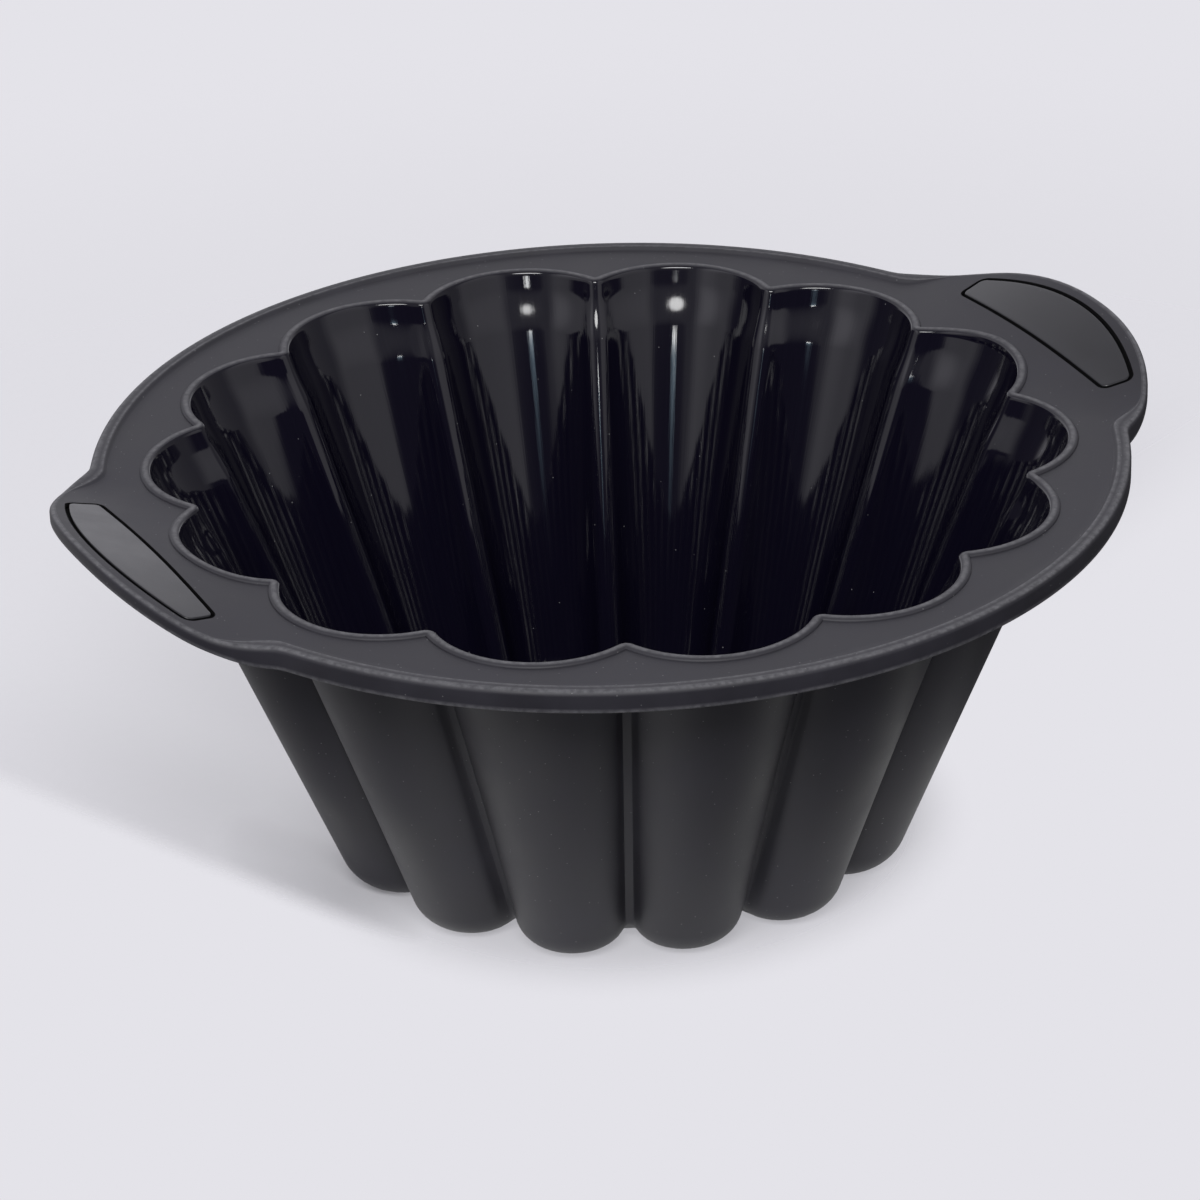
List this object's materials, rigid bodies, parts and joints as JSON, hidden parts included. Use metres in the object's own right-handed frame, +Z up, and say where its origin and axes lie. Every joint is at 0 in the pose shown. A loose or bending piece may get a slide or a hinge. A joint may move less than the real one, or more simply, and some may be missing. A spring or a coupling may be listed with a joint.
{
  "type": "charlotte mould",
  "caption": "Deep fluted silicone charlotte mould: a tapered cup of round lobes with a raised mouth bead, a flat flange, a wire-stiffened rim and a plated handle lug at each end.",
  "frame": {"origin": "centre of the base, on the plane that the mould stands on", "axes": "+Z up through the opening, +X along the two handles, +Y level across them"},
  "size_m": [0.2526, 0.2294, 0.1008],
  "materials": {
    "silicone": "satin outside, glossy inside the cup",
    "steel_wire": "drawn",
    "hard_plate": "fine satin"
  },
  "bodies": {
    "root": {"mould_body": "silicone", "rim_wire": "steel_wire", "handle_plate_right": "hard_plate", "handle_plate_left": "hard_plate"}
  },
  "joints": []
}
